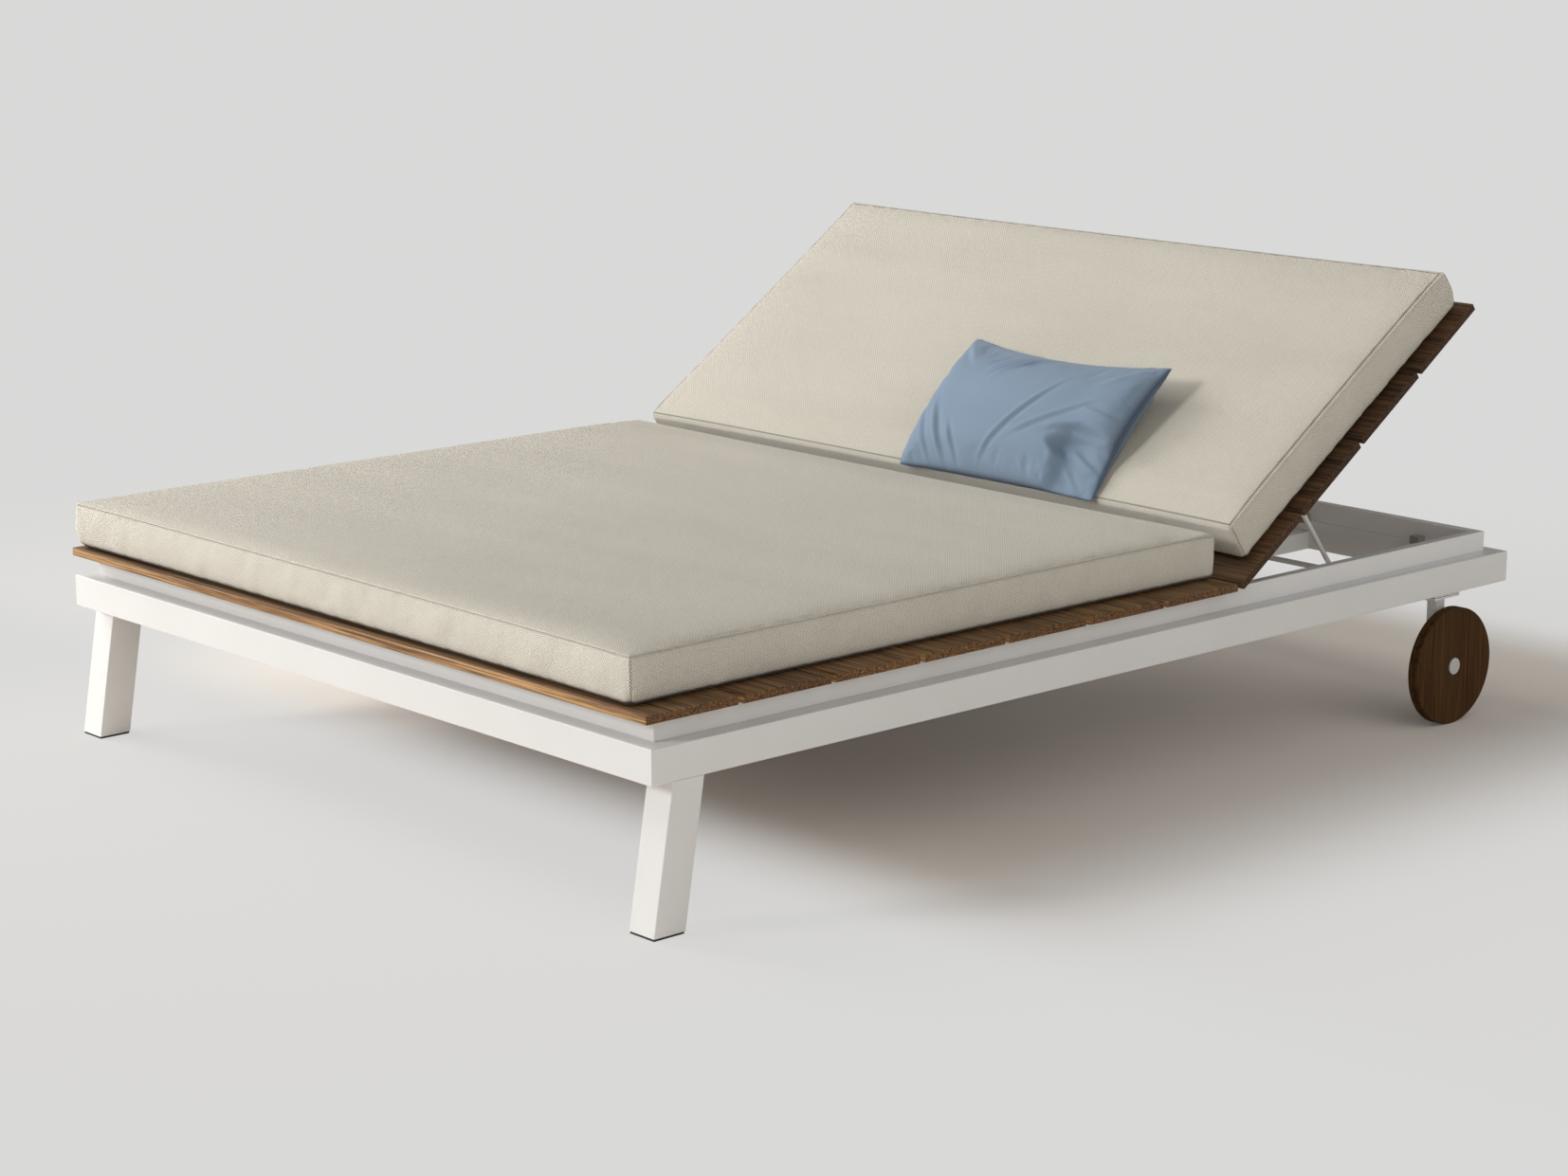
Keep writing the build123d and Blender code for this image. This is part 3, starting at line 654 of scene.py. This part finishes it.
# %% Boxed cushion
edge_fine = [0.0, 0.001, 0.002, 0.003, 0.0042, 0.0055, 0.007, 0.009, 0.012, 0.017, 0.024]
panel_step, band_step = 0.012, 0.010
stitch_drop = 0.007
seam_offset, face_seam_offset, corner_seam_offset = 0.0032, 0.0062, 0.0022
seam_depth, seam_width = 0.0016, 0.0012
bead_height, bead_width, corner_bead_share = 0.0011, 0.0014, 0.7
top_round, face_seam_round, foot_round, meeting_round = 0.003, 0.0055, 0.013, 0.011
under_shade_height = 0.013
side_pull, side_bulge, ripple_slant = 0.004, 0.0025, 0.8
pucker_reach, crown_reach_x, crown_reach_y, calm_crown = 0.014, 0.050, 0.030, 0.35
touching, far_away = 1e-6, 1.0


def waves(values, seed, lengths, size):
    """A calm irregular ripple along a line, the same in every run."""
    source = np.random.default_rng(seed)
    total = np.zeros_like(values)
    for length in lengths:
        total += np.sin(values * 2 * math.pi / length + source.uniform(0, 6.3)) * source.uniform(0.5, 1.0)
    return total * size / len(lengths)


def ridge(distance, middle, width):
    """1 at the middle of a soft ridge, falling off to both sides."""
    return np.exp(-((distance - middle) / width) ** 2)


def foam_push(points, width, length, thickness):
    """How far the foam pushes each point of the cover."""
    coarse, end = 0.016, [0, 0.01]
    c_points, c_faces, _ = box_grid(*[spaced(side, end, coarse) for side in (width, length, thickness)])
    edge_x = np.minimum(c_points[:, 0], width - c_points[:, 0]) < touching
    edge_y = np.minimum(c_points[:, 1], length - c_points[:, 1]) < touching
    low, high = c_points[:, 2] < touching, c_points[:, 2] > thickness - touching
    pinned = (low | (high & (edge_x | edge_y)) | (edge_x & edge_y)).astype(float)
    move = blow_up(c_points, c_faces, pinned, pressure=4.0, slack=0.006, cap=0.004)
    return carry_over(c_points, move, points)


def boxed_cushion(name, size, thickness, crown, place, seed, seam_on_top, quiet_end):
    """quiet_end is 1 or -1 for the end that lies against the other cushion."""
    width, length = size
    xs, ys = spaced(width, edge_fine, panel_step), spaced(length, edge_fine, panel_step)
    points, faces, cloth = box_grid(xs, ys, spaced(thickness, edge_fine, band_step))
    flat = points.copy()
    u, v = 2 * flat[:, 0] / width - 1, 2 * flat[:, 1] / length - 1
    calm = 1 - smooth_step(0.80, 0.97, quiet_end * v)
    # rounded edges: each point is drawn in to a core and pushed out again by the radius
    edge_round = face_seam_round if seam_on_top else top_round
    meeting = smooth_step(0.92, 0.97, quiet_end * v)
    foot = 1 - smooth_step(0.1 * thickness, 0.45 * thickness, flat[:, 2])
    radius = edge_round + (meeting_round - edge_round) * meeting
    radius = radius + foot_round * foot * (1 - 0.8 * meeting)
    low = np.stack([radius, radius, radius], 1)
    core = np.clip(points, low, np.array([width, length, thickness]) - low)
    normal = points - core
    normal /= np.linalg.norm(normal, axis=1, keepdims=True)
    push = foam_push(points, width, length, thickness) * calm[:, None]
    points = core + normal * radius[:, None] + push
    # distances over the surface: from the top edge, and from the upright corners
    drop = thickness - flat[:, 2]
    from_x = np.minimum(flat[:, 0], width - flat[:, 0])
    from_y = np.minimum(flat[:, 1], length - flat[:, 1])
    on_top, on_x, on_y = drop < touching, from_x < touching, from_y < touching
    band = on_x | on_y
    from_edge = np.where(band, drop, np.where(on_top, np.minimum(from_x, from_y), far_away))
    from_corner = np.where(band, np.where(on_x, from_y, from_x), far_away)
    # the groove of the seam and the bead beside it
    if seam_on_top:
        groove = ridge(from_edge, face_seam_offset, seam_width) * on_top
    else:
        groove = ridge(from_edge, seam_offset, seam_width) * band
    below_seam = drop > seam_offset
    corner_groove = ridge(from_corner, corner_seam_offset, seam_width) * on_x * below_seam
    corner_bead = corner_bead_share * ridge(from_corner, 0, bead_width) * below_seam
    bead = np.maximum(ridge(from_edge, 0, bead_width), corner_bead)
    lift = bead_height * bead * calm - seam_depth * np.maximum(groove, corner_groove)
    # the swell of the bands, long slanting ripples, and short puckers beside the seam
    along = np.where(on_y, flat[:, 0], flat[:, 1] + 3.1)
    swell = np.sin(math.pi * np.clip(drop / thickness, 0, 1))
    ripple = waves(along + ripple_slant * drop, seed, (0.083, 0.13, 0.21), 0.0018)
    lift += band * swell * (side_bulge + ripple) * calm
    fade = np.exp(-np.maximum(from_edge - stitch_drop, 0) / pucker_reach)
    fade = fade * smooth_step(seam_offset, stitch_drop, from_edge)
    puckers = waves(along, seed + 1, (0.013, 0.021, 0.037), 0.0008)
    lift += fade * puckers * (band | on_top) * calm
    points += normal * lift[:, None]
    # the crown of the top, with a few slow hollows, and the sides drawn in
    rise = crown * (1 - np.exp(-from_x / crown_reach_x)) * (1 - np.exp(-from_y / crown_reach_y))
    rise = rise * (calm_crown + (1 - calm_crown) * calm)
    slow = waves(flat[:, 0] + 0.4 * flat[:, 1], seed + 2, (0.37, 0.55, 0.9), 0.0012)
    hollows = slow * (1 - u ** 4) * (1 - v ** 4)
    points[:, 2] += on_top * (rise + hollows)
    points[:, 0] -= side_pull * u * (1 - v ** 4)
    points[:, 1] -= side_pull * v * (1 - u ** 4)
    points[:, 2] = np.maximum(points[:, 2], 0)
    # marks for the finish: painted shade in the seams and round the foot, painted light on bands and
    # beads
    dark = np.maximum(groove * (1.0 if seam_on_top else 0.4), 0.55 * corner_groove)
    # painted shade on the underside and the lowest 13 mm of the bands, where the cushion meets the slats
    dark = np.maximum(dark, smooth_step(under_shade_height, 0.3 * under_shade_height, flat[:, 2]))
    # painted light on the side bands, from just below the stitches down
    sides = smooth_step(0.0, stitch_drop, drop)
    # the seam mark carries all the painted shade, the underside's as well
    marks = {"seam": dark, "side_band_painted_light": sides, "bead": bead}
    piece = make_piece(name, place(points), faces, cover_cloth, cloth, **marks)
    # the ring where the row of stitches runs, and the way out of the cloth there
    ring = np.flatnonzero(band & (np.abs(drop - stitch_drop) < touching))
    ring = in_turn(ring, u, v)
    path = place(points[ring])
    out = place(points[ring] + normal[ring]) - path
    return piece, points[on_top], path, out


# %% [markdown]
# A row of stitches is one small thread shape set down again and again along a path.
# Copies of an object would do it, but Geometry Nodes keep the row tidy: the path becomes
# a curve, the curve is cut at an even pitch, and a thread is turned to lie along it. The
# tree has its sizes as inputs, so the same one serves the cushions and the pillow.

# %% Row of stitches
thread_segments, thread_rings = 6, 4


def stitch_tree():
    """The node tree that turns a path into a row of stitches."""
    tree = bpy.data.node_groups.new("row_of_stitches", "GeometryNodeTree")
    sockets = tree.interface
    sockets.new_socket("Path", in_out="INPUT", socket_type="NodeSocketGeometry")
    for label in ("Pitch", "Length", "Thickness"):
        sockets.new_socket(label, in_out="INPUT", socket_type="NodeSocketFloat")
    sockets.new_socket("Thread", in_out="INPUT", socket_type="NodeSocketMaterial")
    sockets.new_socket("Stitches", in_out="OUTPUT", socket_type="NodeSocketGeometry")
    make, link = tree.nodes.new, tree.links.new
    start, end = make("NodeGroupInput"), make("NodeGroupOutput")
    curve, cut = make("GeometryNodeMeshToCurve"), make("GeometryNodeResampleCurve")
    cut.mode = "LENGTH"
    thread = make("GeometryNodeMeshUVSphere")
    thread.inputs["Segments"].default_value = thread_segments
    thread.inputs["Rings"].default_value = thread_rings
    thread.inputs["Radius"].default_value = 0.5
    along, out = make("GeometryNodeInputTangent"), make("GeometryNodeInputNamedAttribute")
    out.data_type = "FLOAT_VECTOR"
    out.inputs["Name"].default_value = "out"
    turn = make("FunctionNodeAxesToRotation")
    turn.primary_axis, turn.secondary_axis = "X", "Z"
    size = make("ShaderNodeCombineXYZ")
    rows = make("GeometryNodeInstanceOnPoints")
    solid = make("GeometryNodeRealizeInstances")
    finish = make("GeometryNodeSetMaterial")
    link(start.outputs["Path"], curve.inputs["Mesh"])
    link(curve.outputs["Curve"], cut.inputs["Curve"])
    link(start.outputs["Pitch"], cut.inputs["Length"])
    link(cut.outputs["Curve"], rows.inputs["Points"])
    link(thread.outputs["Mesh"], rows.inputs["Instance"])
    link(along.outputs[0], turn.inputs[0])
    link(out.outputs["Attribute"], turn.inputs[1])
    link(turn.outputs[0], rows.inputs["Rotation"])
    link(start.outputs["Length"], size.inputs[0])
    link(start.outputs["Thickness"], size.inputs[1])
    link(start.outputs["Thickness"], size.inputs[2])
    link(size.outputs[0], rows.inputs["Scale"])
    link(rows.outputs["Instances"], solid.inputs[0])
    link(solid.outputs[0], finish.inputs["Geometry"])
    link(start.outputs["Thread"], finish.inputs["Material"])
    link(finish.outputs[0], end.inputs[0])
    return tree


stitches = stitch_tree()


def sew(name, path, away, sizes, thread, body):
    """Stitches along a closed path. away is the way out of the cloth at its points."""
    count = len(path)
    mesh = bpy.data.meshes.new(name + "_path")
    mesh.from_pydata([tuple(p) for p in path], [(i, (i + 1) % count) for i in range(count)], [])
    out = mesh.attributes.new("out", "FLOAT_VECTOR", "POINT")
    out.data.foreach_set("vector", np.array(away, np.float32).ravel())
    guide = put_in_scene(name + "_path", mesh)
    row = guide.modifiers.new("row", "NODES")
    row.node_group = stitches
    values = dict(zip(("Pitch", "Length", "Thickness"), sizes), Thread=thread)
    for socket in stitches.interface.items_tree:
        if socket.in_out == "INPUT" and socket.name in values:
            row[socket.identifier] = values[socket.name]
    graph = bpy.context.evaluated_depsgraph_get()
    row_mesh = bpy.data.meshes.new_from_object(guide.evaluated_get(graph), depsgraph=graph)
    sewn = put_in_scene(name, row_mesh)
    bpy.data.objects.remove(guide)
    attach(sewn, body)
    print(name, "has", len(sewn.data.polygons) // (thread_segments * thread_rings), "stitches")


# %% [markdown]
# Both cushions come from the same function. The seat's seam lies just under its top
# edge. The back's seam lies on its face, so there the panel ends in a dark line.

# %% Seat and back cushions
cushion_thickness = 0.080
# pitch, length and thickness of a stitch
cushion_stitch = (0.0045, 0.0034, 0.0008)
seat_low, seat_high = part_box("seat_cushion")
seat_size = (seat_high.x - seat_low.x, seat_high.y - seat_low.y)
seat_origin = np.array(seat_low)
seat_piece, _, seat_path, seat_out = boxed_cushion(
    "seat_cushion_sewn", seat_size, cushion_thickness, crown=0.009,
    place=lambda p: p + seat_origin, seed=3, seam_on_top=False, quiet_end=1)
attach(seat_piece, "frame")
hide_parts("seat_cushion")
print("seat cushion has", len(seat_piece.data.polygons), "faces")
sew("seat_cushion_stitches", seat_path, seat_out, cushion_stitch, thread_finish, "frame")

# where the back cushion starts and ends up the backrest, and how high its bed lies
back_start, back_end, back_bed = 0.053, 0.7383, 0.0207
back_low, back_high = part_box("back_cushion")
back_size = (back_high.x - back_low.x, back_end - back_start)
back_origin = np.array([back_low.x, back_start, back_bed])
back_piece, back_top, back_path, back_out = boxed_cushion(
    "back_cushion_sewn", back_size, cushion_thickness, crown=0.006,
    place=lambda p: on_back(p + back_origin), seed=5, seam_on_top=True, quiet_end=-1)
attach(back_piece, "backrest")
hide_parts("back_cushion")
print("back cushion has", len(back_piece.data.polygons), "faces")
sew(
    "back_cushion_stitches", back_path, back_out, cushion_stitch, thread_finish,
    "backrest")

# %% [markdown]
# The pillow is two pieces of linen sewn all round and filled loosely. It starts as two
# flat grids that share their rim, a front and a back, in shares of the half width and
# half height. A plain cushion shape would be too smooth, so its folds get a function of
# their own: a short crest with a hollow beside it.

# %% Pillow grid and folds
pillow_width, pillow_height = 0.495, 0.305
pillow_foot = np.array([0.211, 0.046, 0.1005])
pillow_lean = math.radians(12)


def lean_pillow(points):
    """a runs across, b up the pillow, c out of its front, to places on the back's plane."""
    a, b, c = np.array(points, float).T
    run = pillow_foot[1] + b * math.cos(pillow_lean) - c * math.sin(pillow_lean)
    height = pillow_foot[2] + b * math.sin(pillow_lean) + c * math.cos(pillow_lean)
    return np.stack([pillow_foot[0] + a, run, height], 1)


def pillow_grid(step):
    """u and v from -1 to 1 with a side of 1 or -1, the faces, and the cloth coordinates."""
    columns, rows = round(pillow_width / step), round(pillow_height / step)
    spots, faces, cloth, index = [], [], [], {}
    for side in (1, -1):
        for j in range(rows + 1):
            for i in range(columns + 1):
                if side == -1 and (i in (0, columns) or j in (0, rows)):
                    index[i, j, side] = index[i, j, 1]
                    continue
                index[i, j, side] = len(spots)
                spots.append((2 * i / columns - 1, 2 * j / rows - 1, side))
        for j in range(rows):
            for i in range(columns):
                ring = [(i, j), (i + 1, j), (i + 1, j + 1), (i, j + 1)][::side]
                faces.append([index[a, b, side] for a, b in ring])
                cloth.extend((a * pillow_width / columns, b * pillow_height / rows) for a, b in ring)
    return np.array(spots), faces, np.array(cloth)


def fold(u, v, start, end, height, width):
    """A crest along a line from start to end with a hollow beside it, in metres."""
    half = (pillow_width / 2, pillow_height / 2)
    a, b = u * half[0], v * half[1]
    first = np.array(start) * half
    line = np.array(end) * half - first
    length = np.hypot(*line)
    line /= length
    along = ((a - first[0]) * line[0] + (b - first[1]) * line[1]) / length
    across = ((b - first[1]) * line[0] - (a - first[0]) * line[1]) / width
    taper = smooth_step(-0.15, 0.25, along) * (1 - smooth_step(0.6, 1.15, along))
    return height * taper * (np.exp(-across ** 2) - 0.8 * np.exp(-((across + 1.6) / 1.3) ** 2))


pillow_folds = [
    # start and end as shares of the half width and half height, height and width in m
    ((-0.12, -0.82), (0.34, 0.46), 0.0042, 0.0042),
    ((-0.10, 0.94), (-0.38, 0.28), 0.0046, 0.0055),
    ((-0.02, 0.96), (-0.14, 0.55), 0.0040, 0.0050),
    ((-0.34, 0.80), (-0.48, 0.40), 0.0020, 0.0060),
    ((0.12, -0.50), (0.74, 0.24), 0.0030, 0.0045),
    ((-0.66, -0.99), (-0.92, -0.30), 0.0042, 0.0048),
    ((-0.50, -0.99), (-0.80, -0.20), 0.0050, 0.0055),
    ((-0.36, -0.99), (-0.56, -0.45), 0.0034, 0.0045),
    ((0.86, -0.99), (0.66, -0.70), 0.0060, 0.0055),
    ((0.44, -0.30), (0.72, -0.16), 0.0055, 0.0050),
    ((0.98, -0.70), (0.66, -0.46), 0.0060, 0.0060),
    ((0.98, -0.34), (0.56, -0.26), 0.0065, 0.0055),
    ((0.98, -0.02), (0.66, 0.04), 0.0040, 0.0060),
    ((0.98, 0.95), (0.62, 0.40), 0.0035, 0.0090),
    ((-0.98, 0.95), (-0.66, 0.50), 0.0032, 0.0080),
]
print("folds on the pillow:", len(pillow_folds))

# %% [markdown]
# The outline comes first: straight sides, blunt corners, and a top edge that sags because
# the filling has settled. The filling gives a full front, round near the seams, with a
# dent low on the right. The back is pressed flat where it lies on the cushion. Then come
# the folds, and last a short cloth run lets the linen settle over them.

# %% Pillow filling
pillow_front, pillow_rear = 0.064, 0.017
pillow_pull, pillow_sag, pillow_foot_lift, pillow_blunt = 0.008, 0.024, 0.004, 0.003
pillow_seam_out, pillow_dent, pillow_swell, fold_strength = 0.014, 0.044, 0.006, 1.25
spots, faces, cloth = pillow_grid(0.005)
u, v, side = spots.T
rim = np.maximum(np.abs(u), np.abs(v)) > 1 - touching
a = u * (pillow_width / 2 - pillow_pull * (1 - v ** 2))
settled = pillow_sag * (1 - u ** 2) * smooth_step(-0.4, 1.0, v)
foot_lift = pillow_foot_lift * (1 - u ** 4) * smooth_step(-0.3, -1.0, v)
b = (v + 1) * pillow_height / 2 - settled + foot_lift
blunt = pillow_blunt * np.clip((np.abs(u) + np.abs(v) - 1.8) / 0.2, 0, 1) ** 2
a, b = a - np.sign(u) * blunt, b - np.sign(v) * blunt
full = np.sqrt(np.clip((1 - np.abs(u) ** 2.3) * (1 - np.abs(v) ** 2.2), 0, 1))
front_height = pillow_front * full * (1 - 0.10 * v)
near_seam = np.minimum(full * 1.6, 1)
for start, end, height, width in pillow_folds:
    front_height += fold(u, v, start, end, fold_strength * height, width) * near_seam
dent_side = u + 0.035 * np.sin(11 * v) + 0.02 * np.sin(23 * v)
dent_top = v + 0.1 * np.sin(6 * u)
dent = pillow_dent * smooth_step(0.52, 0.64, dent_side) * (1 - smooth_step(-0.46, -0.24, dent_top))
front_height = np.maximum(front_height - dent * full, 0.0)
rear_height = -pillow_rear * full * (1 + 0.25 * waves(a + 0.5 * b, 11, (0.07, 0.11), 1.0))
swell = pillow_swell * ridge(1 - np.abs(u), 0.05, 0.04) * (1 - v ** 4) * (side < 0)
seam_out = pillow_seam_out * (1 - v ** 2) * smooth_step(0.5, 1.0, np.abs(u))
inner_height = np.where(side > 0, front_height + seam_out, rear_height)
points = np.stack([a + np.sign(u) * swell, b, np.where(rim, seam_out, inner_height)], 1)
move = blow_up(
    points, faces, rim.astype(float), pressure=3.0, slack=0.02, cap=0.005,
    steps=14, stiffness=10.0, bending=0.02)
points = points + move
print("pillow has", len(points), "points")

# %% [markdown]
# The pillow leans on the back cushion. No point of it may sink under the cushion's face,
# so each one is lifted to the face where it would. One step of subdivision then makes
# the linen smooth, and a row of stitches in blue thread runs round its rim.

# %% Lay the pillow on the cushion
cloth_gap, stitch_out = 0.0006, 0.0008
points = lean_pillow(points)
cushion_face = KDTree(len(back_top))
for i, p in enumerate(back_top + back_origin):
    cushion_face.insert((p[0], p[1], 0), i)
cushion_face.balance()
face_heights = back_top[:, 2] + back_bed
for i, (x, run, height) in enumerate(points):
    near = cushion_face.find_n((x, run, 0), 3)
    points[i, 2] = max(height, max(face_heights[n[1]] for n in near) + cloth_gap)
seam_shade = ridge(1 - np.maximum(np.abs(u), np.abs(v)), 0, 0.018)
pillow_piece = make_piece("pillow_sewn", on_back(points), faces, pillow_cloth, cloth, seam=seam_shade)
soften = pillow_piece.modifiers.new("soften", "SUBSURF")
soften.levels = soften.render_levels = 1
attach(pillow_piece, "backrest")
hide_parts("pillow")
edge = in_turn(np.flatnonzero(rim), u, v)
straight_out = on_back([[0, 0, 1]]) - on_back([[0, 0, 0]])
pillow_out = np.tile(straight_out, (len(edge), 1))
pillow_path = on_back(points[edge]) + pillow_out * stitch_out
pillow_stitch = (0.004, 0.003, 0.0008)
sew("pillow_stitches", pillow_path, pillow_out, pillow_stitch, blue_thread, "backrest")
